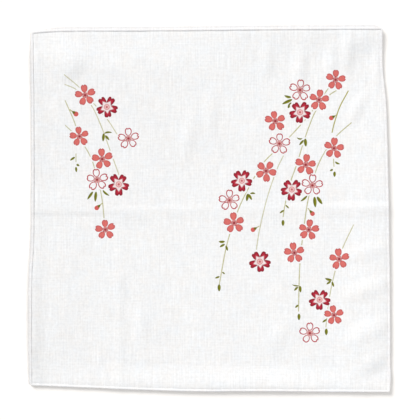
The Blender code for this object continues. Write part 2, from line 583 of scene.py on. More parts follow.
def through(stations, at, column=1):
    """The smooth curve through the stations' first and chosen columns, read at many places."""
    places = np.array([row[0] for row in stations], float)
    values = np.array([row[column] for row in stations], float)
    at = np.clip(at, places[0], places[-1])
    last = len(places) - 1
    i = np.clip(np.searchsorted(places, at, side="right") - 1, 0, last - 1)
    before = np.maximum(i - 1, 0)
    after = np.minimum(i + 2, last)
    span = places[i + 1] - places[i]
    slope_in = (values[i + 1] - values[before]) / (places[i + 1] - places[before])
    slope_out = (values[after] - values[i]) / (places[after] - places[i])
    t = (at - places[i]) / span
    rest = 1 - t
    ends = values[i] * rest * rest * (1 + 2 * t) + values[i + 1] * t * t * (3 - 2 * t)
    return ends + span * t * rest * (slope_in * rest - slope_out * t)


def round_bump(distance):
    """1 at the middle of a bump and exactly 0 from its rim outwards."""
    return 0.5 + 0.5 * np.cos(math.pi * np.minimum(distance, 1))


def crease_rise(crease, x, y):
    _, runs, before, after, stations = crease
    along, across = (x, y) if runs == "across" else (y, x)
    beyond = across - through(stations, along)
    half_width = np.where(beyond < 0, before, after)
    return through(stations, along, column=2) * round_bump(abs(beyond) / half_width)


def buckle_rise(buckle, x, y):
    _, centre_x, centre_y, half_length, half_width, turn, rise, lean = buckle
    turned = math.radians(turn)
    dx, dy = x - centre_x, y - centre_y
    along = (dx * math.cos(turned) + dy * math.sin(turned)) / half_length
    across = (dy * math.cos(turned) - dx * math.sin(turned)) / half_width
    across = (across - lean) / (1 - lean * np.sign(across - lean))
    return rise * round_bump(np.hypot(along, across))


def lift(x, y):
    """How far the folds raise the underside, in mm, at places in mm."""
    creased = sum(crease_rise(crease, x, y) for crease in CREASES)
    return creased + sum(buckle_rise(buckle, x, y) for buckle in BUCKLES)


def mixed(a, b, share):
    return a + (b - a) * share


def place_on_cloth(u, v):
    """The x and y in mm at the shares u of the width and v of the height."""
    bottom_y = through(BOTTOM, mixed(BOTTOM[0][0], BOTTOM[-1][0], u))
    top_y = through(TOP, mixed(TOP[0][0], TOP[-1][0], u))
    left_x = through(LEFT, mixed(LEFT[0][0], LEFT[-1][0], v))
    right_x = through(RIGHT, mixed(RIGHT[0][0], RIGHT[-1][0], v))
    return mixed(left_x, right_x, u), mixed(bottom_y, top_y, v)


def rumpled(x, y, scale_x, scale_y, seed):
    """Smooth noise from 0 to 1 with bumps of about these sizes in mm."""
    flat = zip(np.ravel(x) / scale_x, np.ravel(y) / scale_y)
    values = [0.5 + 0.5 * noise.noise(Vector((a, b, seed))) for a, b in flat]
    return np.reshape(values, np.shape(x))


def unevenness(x, y, inwards, sizes):
    """The crinkle and the hem's puckers, in mm, so far inwards from the nearest edge."""
    crinkle = sum(share * rumpled(x, y, wide, tall, seed) for share, wide, tall, seed in CRINKLES)
    wander = rumpled(x, y, PUCKER_GROUPS, PUCKER_GROUPS, 12.4)
    ripples = 0.5 + 0.5 * np.sin((x + y) * 2 * math.pi / PUCKER_SPACING + 9 * wander)
    puckers = ripples * wander * np.exp(-inwards / PUCKER_REACH)
    return (sizes.crinkle * crinkle + sizes.pucker * puckers) / MM


def sheet_grid(sizes, inset):
    """Places in mm of the sheet's mesh lines, how far inwards from the edge each lies, and a
    share that is 1 beside the left and top edges and 0 beside the others."""
    beside = inset + np.array(HEM_LINES)
    even = np.linspace(beside[-1], SIDE - beside[-1], sizes.cells + 1)
    shares = np.concatenate([beside[:-1], even, SIDE - beside[-2::-1]]) / SIDE
    u, v = np.meshgrid(shares, shares)
    x, y = place_on_cloth(u, v)
    inwards = SIDE * np.minimum(np.minimum(u, 1 - u), np.minimum(v, 1 - v))
    nearer = np.minimum(1 - u, v) - np.minimum(u, 1 - v)
    eased = np.clip(0.5 + SIDE / EASE_BAND * nearer, 0, 1)
    return x, y, inwards, eased


def sheet_faces(rows):
    """Quads of the top, then of the underside, then of the rim, for two layers of points."""
    at = np.arange(rows * rows).reshape(rows, rows)
    corners = (at[:-1, :-1], at[:-1, 1:], at[1:, 1:], at[1:, :-1])
    top = np.stack([c.ravel() for c in corners], axis=1)
    under = top[:, ::-1] + rows * rows
    rim = np.concatenate([at[0, :-1], at[:-1, -1], at[-1, :0:-1], at[:0:-1, 0]])
    ahead = np.roll(rim, -1)
    sides = np.stack([rim + rows * rows, ahead + rows * rows, ahead, rim], axis=1)
    return np.concatenate([top, under, sides])


def mesh_of(name, points, faces):
    """A smooth mesh of quads from points in mm."""
    mesh = bpy.data.meshes.new(name)
    mesh.from_pydata((points * MM).tolist(), [], faces.tolist())
    mesh.shade_smooth()
    if mesh.validate():
        raise RuntimeError(f"{name} has faulty faces")
    return mesh


def shown(mesh, material):
    """The finished piece that holds this mesh."""
    piece = bpy.data.objects.new(mesh.name, mesh)
    mesh.materials.append(material)
    bpy.context.scene.collection.objects.link(piece)
    return piece


def corner_places(mesh):
    """The x and y in mm of the four corners of each face."""
    places = np.empty(len(mesh.vertices) * 3)
    mesh.vertices.foreach_get("co", places)
    vertex = np.empty(len(mesh.loops), int)
    mesh.loops.foreach_get("vertex_index", vertex)
    return places.reshape(-1, 3)[vertex, :2].reshape(-1, 4, 2) / MM


def put_marks(mesh, name, marks):
    layer = mesh.attributes.new(name, "FLOAT_VECTOR", "CORNER")
    layer.data.foreach_set("vector", marks.astype(np.float32).ravel())


def blank_marks(corners):
    marks = np.zeros((*corners.shape[:2], 3))
    marks[..., :2] = FAR_OFF
    return marks


def turned_places(corners, x, y, turn):
    """The corners as seen from a place on the cloth, with the first axis turned so many degrees."""
    c, s = math.cos(math.radians(turn)), math.sin(math.radians(turn))
    dx, dy = corners[..., 0] - x, corners[..., 1] - y
    return dx * c + dy * s, dy * c - dx * s


def blossom_marks(corners):
    """Each face's corners in the frame of its nearest blossom, in radii, with its kind and number."""
    marks = blank_marks(corners)
    nearest = np.full(len(corners), BLOSSOM_REACH)
    for number, (kind, x, y, turn, radius) in enumerate(BLOSSOMS):
        ahead, beside = turned_places(corners, x, y, turn)
        away = np.hypot(ahead, beside).mean(axis=1) / radius
        near = away < nearest
        nearest[near] = away[near]
        marks[near, :, 0] = ahead[near] / radius
        marks[near, :, 1] = beside[near] / radius
        marks[near, :, 2] = kind + NUMBER_STEP * number
    return marks


def into_free_layer(layers, near, values):
    """Writes marks for some faces into the layer where the fewest of them are taken."""
    taken = [(layer[near, 0, 0] != FAR_OFF) for layer in layers]
    best = min(range(len(layers)), key=lambda i: taken[i].sum())
    free = ~taken[best]
    layers[best][np.flatnonzero(near)[free]] = values[free]


def smooth_line(stations, step=0.4):
    """Evenly spaced points in mm on the smooth curve through the stations."""
    knots = np.array(stations, float)
    run = np.concatenate([[0], np.cumsum(np.linalg.norm(np.diff(knots, axis=0), axis=1))])
    at = np.linspace(0, run[-1], int(run[-1] / step) + 2)
    rows = [(r, *knot) for r, knot in zip(run, knots)]
    return np.stack([through(rows, at), through(rows, at, column=2)], axis=1)


def beside_line(line, places):
    """For each place: its signed distance from the line and how far along it lies, in mm."""
    apart = np.hypot(places[:, None, 0] - line[None, :, 0], places[:, None, 1] - line[None, :, 1])
    nearest = apart.argmin(axis=1)
    ahead = np.gradient(line, axis=0)
    ahead /= np.linalg.norm(ahead, axis=1, keepdims=True)
    run = np.concatenate([[0], np.cumsum(np.linalg.norm(np.diff(line, axis=0), axis=1))])
    offset = places - line[nearest]
    along = run[nearest] + (offset * ahead[nearest]).sum(axis=1)
    across = ahead[nearest, 0] * offset[:, 1] - ahead[nearest, 1] * offset[:, 0]
    return across, along, run[-1]


def stem_marks(corners):
    """Corners beside a stem: distance from its middle and way along it in mm, and its strength."""
    layers = [blank_marks(corners) for _ in STEM_MARKS]
    middles = corners.mean(axis=1)
    for strength, places in STEMS:
        line = smooth_line(places)
        low, high = line.min(axis=0) - STEM_BOX, line.max(axis=0) + STEM_BOX
        near = ((middles > low) & (middles < high)).all(axis=1)
        across, along, _ = beside_line(line, middles[near])
        close = (abs(across) < STEM_REACH) & (along > -STEM_LEAD)
        near[np.flatnonzero(near)[~close]] = False
        across, along, length = beside_line(line, corners[near].reshape(-1, 2))
        inside = np.minimum(along, length - along)
        values = np.stack([across, inside, np.full(len(along), strength)], axis=1)
        into_free_layer(layers, near, values.reshape(-1, 4, 3))
    return layers


def leaf_marks(corners):
    """Corners in the frame of a leaf or bud: share along it, half widths aside, kind and number."""
    layers = [blank_marks(corners) for _ in LEAF_MARKS]
    end, flank = LEAF_MARGINS
    for number, (kind, x, y, turn, length, width, sag) in enumerate(LEAVES):
        ahead, beside = turned_places(corners, x, y, turn)
        along = ahead / length
        aside = (beside - 4 * sag * along * (1 - along)) / (width / 2)
        near = (along.max(axis=1) > -end) & (along.min(axis=1) < 1 + end)
        near &= (aside.max(axis=1) > -1 - flank) & (aside.min(axis=1) < 1 + flank)
        mark = np.full(along.shape, kind + NUMBER_STEP * number)
        into_free_layer(layers, near, np.stack([along, aside, mark], axis=2)[near])
    return layers


def export_places(corners, count):
    """Where each corner lies on the sheet's map, for so many faces on the top."""
    low, high = corners.min(axis=(0, 1)), corners.max(axis=(0, 1))
    share = (corners - low) / (high - low)
    spread = mixed(MAP_MARGIN, 1 - MAP_MARGIN, share)
    spread[..., 1] = mixed(*MAP_TOP, share[..., 1])
    spread[count : 2 * count, :, 1] = mixed(*MAP_UNDER, share[count : 2 * count, :, 1])
    middle = np.array((0.5, sum(MAP_TOP) / 2))
    lower = spread[2 * count :, :2]  # a face of the rim starts with its two lower corners
    lower += MAP_MARGIN * (lower - middle)
    return spread


def cloth_mesh(sizes, hem):
    """The gauze as one closed sheet on its folds, marked for the print. It ends inside the hem."""
    x, y, inwards, eased = sheet_grid(sizes, hem.width / MM * SHEET_END)
    under = lift(x, y) + unevenness(x, y, inwards, sizes)
    ease_from, ease_to, tight = GROOVE_RIGHT
    towards_hem, into_cloth = GROOVE_REACH
    inner = mixed(into_cloth, tight, np.clip((x - ease_from) / (ease_to - ease_from), 0, 1))
    reach = np.where(inwards < GROOVE_AT, towards_hem, inner)
    pressed = sizes.groove / MM * np.clip(1 - abs(inwards - GROOVE_AT) / reach, 0, 1) ** 2
    pressed *= 1 - GROOVE_EASE * eased
    over = under + sizes.thickness / MM - pressed
    layers = [np.stack([x, y, z], axis=2) for z in (over, under)]
    points = np.concatenate([layer.reshape(-1, 3) for layer in layers])
    mesh = mesh_of("printed_cloth", points, sheet_faces(len(x)))
    corners = corner_places(mesh)
    put_marks(mesh, BLOSSOM_MARK, blossom_marks(corners))
    for name, marks in zip(STEM_MARKS, stem_marks(corners)):
        put_marks(mesh, name, marks)
    for name, marks in zip(LEAF_MARKS, leaf_marks(corners)):
        put_marks(mesh, name, marks)
    shows = mesh.attributes.new(SHOWS_MARK, "FLOAT", "POINT")
    shows.data.foreach_set("value", np.repeat((1.0, UNDERSIDE_SHOWS), x.size).astype(np.float32))
    layer = mesh.uv_layers.new(name=EXPORT_MAP)
    places = export_places(corners, (len(x) - 1) ** 2)
    layer.uv.foreach_set("vector", places.astype(np.float32).ravel())
    return mesh


def hem_route(inset, step):
    """Evenly spaced points in mm round the cloth, so far in from its edge, with round corners."""
    low, high = inset / SIDE, 1 - inset / SIDE
    run = np.linspace(low, high, ROUTE_POINTS, endpoint=False)
    back = low + high - run
    flat = np.ones(ROUTE_POINTS)
    u = np.concatenate([run, high * flat, back, low * flat])
    v = np.concatenate([low * flat, run, high * flat, back])
    line = np.stack(place_on_cloth(u, v), axis=1)
    for _ in range(CORNER_SMOOTHINGS):
        line = (np.roll(line, 1, axis=0) + line + np.roll(line, -1, axis=0)) / 3
    closed = np.concatenate([line, line[:1]])
    way = np.concatenate([[0], np.cumsum(np.linalg.norm(np.diff(closed, axis=0), axis=1))])
    at = np.linspace(0, way[-1], int(way[-1] / step), endpoint=False)
    return np.stack([np.interp(at, way, closed[:, k]) for k in (0, 1)], axis=1), at


def hem_mesh(sizes, hem):
    """The cloth's edge rolled over and whipped with thread, all the way round."""
    half_width, half_height = hem.width / MM / 2, hem.height / MM / 2
    line, way = hem_route(half_width, HOOP_STEP)
    ahead = (np.roll(line, -1, axis=0) - np.roll(line, 1, axis=0)) / 2
    ahead /= np.linalg.norm(ahead, axis=1, keepdims=True)
    outward = np.stack([ahead[:, 1], -ahead[:, 0]], axis=1)
    wide, tall, shift = np.ones(len(way)), np.ones(len(way)), np.zeros(len(way))
    for length, seed, more_width, more_height in ROLL_NOISE:
        sway = rumpled(way, 0 * way, length, 1, seed) - 0.5
        wide += more_width * sway
        tall += more_height * sway
    for x, y, reach, more_width, more_height in HEM_LUMPS:
        swell = round_bump(np.hypot(line[:, 0] - x, line[:, 1] - y) / reach)
        wide += more_width * swell
        tall += more_height * swell
        shift += 0.5 * more_width * half_width * swell
    turns = (np.arange(HOOP_POINTS) + 0.5) * 2 * math.pi / HOOP_POINTS
    round_parts = (np.cos(turns), np.sin(turns))
    flank, crown = (np.sign(part) * abs(part) ** HOOP_ROUNDNESS for part in round_parts)
    crown[[0, -1]] = LIP_SHARES
    drawn_out = np.zeros(HOOP_POINTS)
    drawn_out[-LOOP_POINTS:] = 1
    # outer: for each hoop point, how much painted shade darkens its colour. It is full on the drawn-out
    # loops and smaller on the upper lip point.
    outer = drawn_out.copy()
    outer[0] = UPPER_LIP_SHADE
    loops = hem.lip / MM * np.clip(outward[:, 1] - LEFT_LOOPS * outward[:, 0], 0, 1)
    for x, y, reach in LOOP_ENDS:
        loops *= 1 - round_bump(np.hypot(line[:, 0] - x, line[:, 1] - y) / reach)
    stitches = way[:, None] / (hem.stitch / MM) + 0.4 * np.sin(turns)[None, :]
    pulled = 1 - hem.bite * (1 - abs(np.sin(math.pi * stitches)))
    half = half_width * wide[:, None] * pulled
    side = half * flank[None, :] + shift[:, None] + loops[:, None] * drawn_out[None, :] * pulled
    rise = half_height * (tall[:, None] * pulled * crown[None, :])
    middle = lift(line[:, 0], line[:, 1]) + half_height * tall + ROLL_RISE
    places = line[:, None, :] + side[:, :, None] * outward[:, None, :]
    points = np.concatenate([places, (middle[:, None] + rise)[:, :, None]], axis=2)
    at = np.arange(len(way) * HOOP_POINTS).reshape(len(way), HOOP_POINTS)
    on = np.roll(at, -1, axis=0)
    faces = np.stack([at, on, np.roll(on, -1, axis=1), np.roll(at, -1, axis=1)], axis=2)
    mesh = mesh_of("rolled_hem", points.reshape(-1, 3), faces.reshape(-1, 4))
    for name, values in (("stitch", stitches), ("outer", np.tile(outer, (len(way), 1)))):
        layer = mesh.attributes.new(name, "FLOAT", "POINT")
        layer.data.foreach_set("value", values.astype(np.float32).ravel())
    return mesh


class Wiring:
    """Adds nodes to one tree and joins them."""

    def __init__(self, tree):
        self.tree = tree

    def feed(self, socket, value):
        if isinstance(value, bpy.types.NodeSocket):
            self.tree.links.new(value, socket)
        elif socket.type == "RGBA":
            socket.default_value = (*tuple(value)[:3], 1)
        else:
            socket.default_value = value

    def add(self, kind, feeds=(), **settings):
        node = self.tree.nodes.new(kind)
        for name, value in settings.items():
            setattr(node, name, value)
        for socket, value in dict(feeds).items():
            self.feed(node.inputs[socket], value)
        return node

    def math(self, operation, *terms):
        return self.add("ShaderNodeMath", enumerate(terms), operation=operation).outputs[0]

    def in_turn(self, operation, first, *others):
        for other in others:
            first = self.math(operation, first, other)
        return first

    def times(self, *terms):
        return self.in_turn("MULTIPLY", *terms)

    def plus(self, *terms):
        return self.in_turn("ADD", *terms)

    def biggest(self, *terms):
        return self.in_turn("MAXIMUM", *terms)

    def minus(self, first, second):
        return self.math("SUBTRACT", first, second)

    def over(self, first, second):
        return self.math("DIVIDE", first, second)

    def power(self, base, exponent):
        return self.math("POWER", base, exponent)

    def unsigned(self, value):
        return self.math("ABSOLUTE", value)

    def length(self, a, b):
        return self.math("SQRT", self.plus(self.times(a, a), self.times(b, b)))

    def ramp(self, value, start, end, low=0.0, high=1.0):
        """low where value is start and high where it is end, with a smooth turn between."""
        feeds = {"Value": value, "From Min": start, "From Max": end, "To Min": low, "To Max": high}
        node = self.add("ShaderNodeMapRange", feeds, interpolation_type="SMOOTHSTEP")
        return node.outputs["Result"]

    def is_kind(self, kind, wanted):
        return self.math("COMPARE", kind, wanted, 0.4)

    def split(self, vector):
        return tuple(self.add("ShaderNodeSeparateXYZ", {0: vector}).outputs)

    def join(self, x, y, z):
        return self.add("ShaderNodeCombineXYZ", {0: x, 1: y, 2: z}).outputs[0]

    def noise(self, place, scale, detail):
        """Soft noise from 0 to 1."""
        feeds = {"Vector": place, "Scale": scale, "Detail": detail}
        return self.add("ShaderNodeTexNoise", feeds).outputs["Fac"]

    def sway(self, place, scale, detail):
        """Soft noise from -0.5 to 0.5."""
        return self.plus(self.noise(place, scale, detail), -0.5)

    def paint(self, under, over, share):
        """The colour over on the colour under, by a share from 0 to 1."""
        node = self.add("ShaderNodeMix", {0: share, 6: under, 7: over}, data_type="RGBA")
        return node.outputs[2]

    def mark(self, name, output="Vector"):
        return self.add("ShaderNodeAttribute", attribute_name=name).outputs[output]

    def placed(self, group, feeds):
        """The outputs of the named node group, with these values at its inputs."""
        node = self.add("ShaderNodeGroup", node_tree=bpy.data.node_groups[group])
        for name, value in feeds.items():
            self.feed(node.inputs[name], value)
        return node.outputs


SOCKETS = {"value": "NodeSocketFloat", "vector": "NodeSocketVector", "colour": "NodeSocketColor"}


def new_group(name, inputs, outputs):
    """An empty node group, with its wiring, its input sockets and its output sockets."""
    tree = bpy.data.node_groups.new(name, "ShaderNodeTree")
    for way, sockets in (("INPUT", inputs), ("OUTPUT", outputs)):
        for label, kind in sockets.items():
            tree.interface.new_socket(label, in_out=way, socket_type=SOCKETS[kind])
    wires = Wiring(tree)
    return wires, wires.add("NodeGroupInput").outputs, wires.add("NodeGroupOutput").inputs


def kind_and_number(wires, mark):
    number = wires.math("FLOOR", wires.times(wires.plus(mark, 0.5), 1 / NUMBER_STEP))
    return wires.plus(mark, wires.times(number, -NUMBER_STEP)), number


def weave_group():
    """Plain-woven threads with thick and thin places: their height and their shade."""
    inputs = {"Place": "vector", "Thread": "value"}
    wires, given, made = new_group("gauze weave", inputs, {"Height": "value", "Shade": "colour"})
    place = given["Place"]
    x, y, _ = wires.split(place)
    drift = wires.times(wires.sway(place, 160, 1), 1.6)

    def wave(across):
        """Swings once up and once down over each pair of threads."""
        threads = wires.plus(wires.over(across, given["Thread"]), drift)
        return wires.math("SINE", wires.times(threads, math.pi))

    def slubs(across, along):
        """Streaks that follow the threads, from -0.5 to 0.5."""
        return wires.sway(wires.join(wires.times(x, across), wires.times(y, along), 0), 1, 3)

    def tint(scale, seed):
        """Soft clouds, from -0.5 to 0.5."""
        shifted = wires.add("ShaderNodeVectorMath", {0: place, 1: (seed, seed, seed)}).outputs[0]
        return wires.sway(shifted, scale, 2)

    warp, weft = wave(x), wave(y)
    on_top = wires.times(warp, weft)
    warp_top = wires.times(wires.unsigned(warp), wires.plus(wires.times(on_top, 0.5), 0.5))
    weft_top = wires.times(wires.unsigned(weft), wires.plus(wires.times(on_top, -0.5), 0.5))
    threads = wires.biggest(warp_top, weft_top)
    upright, level = slubs(900, 45), slubs(38, 800)
    speckle = wires.sway(place, 420, 4)
    streaks = wires.plus(upright, wires.times(level, 0.55), wires.times(speckle, 0.8))
    wires.feed(made["Height"], wires.plus(wires.times(threads, 0.6), wires.times(streaks, 0.9)))

    broad, small = tint(55, 3), tint(190, 9)
    bright = wires.plus(1, wires.times(streaks, 0.25), wires.times(small, 0.03))
    cool = wires.plus(wires.times(broad, 0.045), wires.times(small, 0.05))
    red = wires.times(bright, wires.minus(1, cool))
    blue = wires.times(bright, wires.plus(1, cool))
    shade = wires.add("ShaderNodeCombineColor", {0: red, 1: bright, 2: blue}).outputs[0]
    wires.feed(made["Shade"], shade)
    return wires.tree


def petal_edge(wires, away, angle, number, shaded):
    """How far outside its petal's edge a place lies, and its place along and beside the petal.

    Chance turns, stretches and nicks each petal a little. All is in radii."""
    petal = wires.math("ROUND", wires.times(angle, 1 / PETAL_TURN))
    seed = wires.join(petal, number, 1.7)
    chance = wires.add("ShaderNodeTexWhiteNoise", {"Vector": seed}, noise_dimensions="3D")
    lean, grown, nicked = wires.split(chance.outputs["Color"])

    from_axis = wires.plus(angle, wires.times(petal, -PETAL_TURN), wires.times(lean, 0.16), -0.08)
    grown_to = wires.over(away, wires.plus(0.95, wires.times(grown, 0.1)))
    out = wires.times(grown_to, wires.math("COSINE", from_axis))
    aside = wires.times(grown_to, wires.math("SINE", from_axis))
    reach = wires.times(wires.plus(out, -PETAL_MIDDLE), 1 / PETAL_HALF_LENGTH)
    half = wires.plus(PETAL_HALF_WIDTH, wires.times(reach, 0.045), wires.times(shaded, 0.02))
    across = wires.unsigned(wires.over(aside, half))
    corners = wires.plus(2.15, wires.times(shaded, 1.2))
    boxy = wires.plus(wires.power(across, corners), wires.power(wires.unsigned(reach), corners))
    body = wires.times(wires.plus(wires.power(boxy, wires.over(1, corners)), -1), 0.3)

    nick_y = wires.unsigned(wires.plus(aside, wires.times(nicked, 0.12), -0.06))
    nick_from = wires.plus(0.975, wires.times(grown, -0.05), wires.times(shaded, -0.02))
    nick = wires.times(wires.minus(wires.plus(out, wires.times(nick_y, -1.1)), nick_from), 0.68)
    return wires.biggest(body, nick), out, aside


def blossom_stamens(wires, away, angle, number):
    """The ink of the anthers in a ring round a blossom's middle, and of their threads."""
    turned = wires.plus(angle, number)
    which = wires.math("ROUND", wires.times(turned, 1 / ANTHER_TURN))
    from_axis = wires.plus(turned, wires.times(which, -ANTHER_TURN))
    seed = wires.join(which, number, 4.2)
    luck = wires.add("ShaderNodeTexWhiteNoise", {"Vector": seed}).outputs["Value"]
    ahead = wires.times(away, wires.math("COSINE", from_axis))
    ahead = wires.plus(ahead, -0.20, wires.times(luck, -0.08))
    beside = wires.times(away, wires.math("SINE", from_axis))
    anthers = wires.ramp(wires.length(ahead, beside), 0.10, 0.05)
    anthers = wires.times(anthers, wires.ramp(luck, 0, 0.5, 0.4, 1))
    threads = wires.times(
        wires.ramp(wires.unsigned(beside), 0.03, 0.01),
        wires.ramp(away, 0.08, 0.10),
        wires.ramp(away, 0.25, 0.22),
    )
    return wires.biggest(anthers, wires.times(threads, 0.4))


def blossom_disc(wires, given, away):
    """The colour of a shaded blossom's pale middle, with its ring and its dot."""
    ring = wires.times(wires.ramp(wires.unsigned(wires.plus(away, -0.245)), 0.065, 0.02), 0.5)
    dot = wires.times(wires.ramp(away, 0.17, 0.06), 0.8)
    return wires.paint(given["Disc"], given["Crimson"], wires.biggest(ring, dot))


def blossom_group():
    """One five-petalled blossom in its own frame, in radii: its ink, colour and cleared ground."""
    inputs = {"Place": "vector", **{name: "colour" for name in INK_NAMES}}
    outputs = {"Ink": "value", "Colour": "colour", "Clear": "value"}
    wires, given, made = new_group("blossom", inputs, outputs)
    x, y, mark = wires.split(given["Place"])
    kind, number = kind_and_number(wires, mark)
    filled, shaded, outlined = (wires.is_kind(kind, k) for k in (FILLED, SHADED, OUTLINED))
    away = wires.length(x, y)
    angle = wires.math("ARCTAN2", y, x)
    edge, out, aside = petal_edge(wires, away, angle, number, shaded)

    fill = wires.ramp(edge, 0.022, -0.022)
    rim = wires.times(wires.ramp(edge, -0.10, -0.03), wires.ramp(away, 0.3, 0.55, 0.3, 1))
    line = wires.ramp(wires.unsigned(wires.plus(edge, 0.025)), 0.056, 0.029)
    line = wires.times(line, wires.ramp(away, 0.25, 0.45, 0.6, 1))
    keep = wires.ramp(wires.plus(out, wires.times(wires.unsigned(aside), 1.4)), 0.46, 0.77)
    kept = wires.times(fill, keep)
    blush = wires.ramp(away, 0.6, 0.35, 0, 0.5)
    near = wires.ramp(away, 0.36, 0.24)
    petals = wires.plus(
        wires.times(wires.biggest(fill, wires.times(near, 0.86)), filled),
        wires.times(wires.biggest(kept, blush), shaded),
        wires.times(wires.biggest(line, wires.times(near, 0.78)), outlined),
    )
    salmon = wires.paint(given["Salmon"], given["Salmon rim"], rim)
    deep = wires.paint(given["Crimson"], given["Crimson rim"], wires.ramp(edge, -0.2, -0.03))
    crimson = wires.paint(given["Disc"], deep, wires.ramp(kept, 0.05, 0.75))
    drawn = wires.paint(given["Line"], given["Salmon"], near)
    colour = wires.paint(wires.paint(salmon, crimson, shaded), drawn, outlined)

    coloured = wires.plus(filled, outlined)
    heart = wires.times(wires.ramp(away, 0.18, 0.10), coloured)
    stamens = wires.times(blossom_stamens(wires, away, angle, number), coloured, 0.85)
    disc = wires.times(wires.ramp(away, 0.32, 0.28), shaded)
    dark = wires.biggest(stamens, wires.times(heart, 0.85))
    colour = wires.paint(colour, given["Heart"], dark)
    colour = wires.paint(colour, blossom_disc(wires, given, away), disc)
    shown_at = wires.biggest(filled, shaded, outlined)
    clear = wires.biggest(wires.ramp(edge, 0.14, 0.1), wires.ramp(away, 0.45, 0.4))
    wires.feed(made["Ink"], wires.times(wires.biggest(petals, stamens, heart, disc), shown_at))
    wires.feed(made["Colour"], colour)
    wires.feed(made["Clear"], wires.times(clear, shown_at))
    return wires.tree


def leaf_group():
    """One leaf or bud in its own frame: its ink and colour."""
    inputs = {"Place": "vector", **{name: "colour" for name in LEAF_INK_NAMES}}
    wires, given, made = new_group("leaf", inputs, {"Ink": "value", "Colour": "colour"})
    along, aside, mark = wires.split(given["Place"])
    kind, _ = kind_and_number(wires, mark)
    is_leaf, is_bud = wires.is_kind(kind, LEAF), wires.is_kind(kind, BUD)
    within = wires.times(wires.ramp(along, 0, 0.02), wires.ramp(along, 1, 0.98))
    wide = wires.unsigned(aside)
    fat = wires.power(wires.biggest(along, 0.0001), 0.85)
    arch = wires.times(4, fat, wires.minus(1, fat))
    half = wires.power(wires.biggest(arch, 0.0001), 0.7)
    blade = wires.ramp(wires.minus(wide, half), 0.08, -0.16)

    bulb = wires.length(wires.times(wires.plus(along, -0.75), 1 / 0.25), aside)
    flare = wires.plus(wires.times(wires.plus(along, -0.28), 1.9), 0.16)
    calyx = wires.times(
        wires.ramp(wires.minus(wide, flare), 0.08, -0.08),
        wires.ramp(along, 0.24, 0.3),
        wires.ramp(along, 0.66, 0.58),
    )
    stalk = wires.times(wires.ramp(wide, 0.3, 0.18), wires.ramp(along, 0.32, 0.28))
    bud = wires.biggest(wires.ramp(bulb, 1.04, 0.9), calyx, wires.times(stalk, 0.8))
    ink = wires.plus(wires.times(blade, is_leaf), wires.times(bud, is_bud))

    half_lit = wires.ramp(aside, -0.3, 0.9, 0, 0.85)
    green = wires.paint(given["Leaf"], given["Pale leaf"], half_lit)
    cup = wires.paint(given["Stem"], given["Leaf"], wires.ramp(along, 0.26, 0.36))
    tip = wires.ramp(wires.plus(along, wires.times(wide, 0.08)), 0.55, 0.68)
    closed = wires.paint(cup, given["Bud"], tip)
    wires.feed(made["Ink"], wires.times(ink, within))
    wires.feed(made["Colour"], wires.paint(green, closed, is_bud))
    return wires.tree


def stem_group():
    """The ink of one stem, from the distance to its middle and to its nearer end, in mm."""
    inputs = {"Place": "vector", "Width": "value"}
    wires, given, made = new_group("stem", inputs, {"Ink": "value"})
    across, inside, strength = wires.split(given["Place"])
    vary = wires.noise(wires.join(inside, strength, 0), 0.35, 2)
    half = wires.times(given["Width"], 0.5, wires.plus(0.8, wires.times(vary, 0.4)))
    beyond = wires.minus(wires.unsigned(across), half)
    cover = wires.math("MINIMUM", wires.times(strength, wires.plus(0.5, wires.times(vary, 0.5))), 1)
    ink = wires.times(wires.ramp(beyond, 0.16, -0.16), wires.ramp(inside, -0.2, 0.4), cover)
    wires.feed(made["Ink"], ink)
    return wires.tree


def new_material(name):
    """A node material with its wiring, its empty shader and the places on its object."""
    material = bpy.data.materials.new(name)
    material.use_nodes = True
    wires = Wiring(material.node_tree)
    place = wires.add("ShaderNodeTexCoord").outputs["Object"]
    return material, wires, material.node_tree.nodes["Principled BSDF"], place


def finish_cloth(wires, shader, weave, colour, height, depth):
    """What every gauze surface shares: its threads' shade and relief, and its soft sheen."""
    shaded = wires.add("ShaderNodeVectorMath", {0: colour, 1: weave["Shade"]}, operation="MULTIPLY")
    bump = wires.add("ShaderNodeBump", {"Height": height, "Strength": 0.5, "Distance": depth})
    wires.feed(shader.inputs["Base Color"], shaded.outputs[0])
    wires.feed(shader.inputs["Normal"], bump.outputs["Normal"])
    shader.inputs["Roughness"].default_value = 0.92
    shader.inputs["Specular IOR Level"].default_value = 0.2
    shader.inputs["Sheen Weight"].default_value = 0.08
    shader.inputs["Sheen Roughness"].default_value = 0.6


def printed_gauze(cloth, inks):
    """White gauze printed with stems, then leaves, then blossoms that clear the ground around them."""
    material, wires, shader, place = new_material("printed gauze")
    weave = wires.placed("gauze weave", {"Place": place, "Thread": cloth.thread})
    shows = wires.mark(SHOWS_MARK, "Fac")
    petal_inks = {name: getattr(inks, field) for name, field in INK_NAMES.items()}
    leaf_inks = {name: getattr(inks, field) for name, field in LEAF_INK_NAMES.items()}
    blossom = wires.placed("blossom", {"Place": wires.mark(BLOSSOM_MARK), **petal_inks})
    open_ground = wires.times(wires.minus(1, blossom["Clear"]), shows)
    colour = cloth.white
    for name in STEM_MARKS:
        stem = wires.placed("stem", {"Place": wires.mark(name), "Width": inks.stem_width / MM})
        colour = wires.paint(colour, inks.stem, wires.times(stem["Ink"], open_ground))
    for name in LEAF_MARKS:
        leaf = wires.placed("leaf", {"Place": wires.mark(name), **leaf_inks})
        colour = wires.paint(colour, leaf["Colour"], wires.times(leaf["Ink"], open_ground))
    colour = wires.paint(colour, blossom["Colour"], wires.times(blossom["Ink"], shows))
    finish_cloth(wires, shader, weave, colour, weave["Height"], 0.25 * MM)
    return material


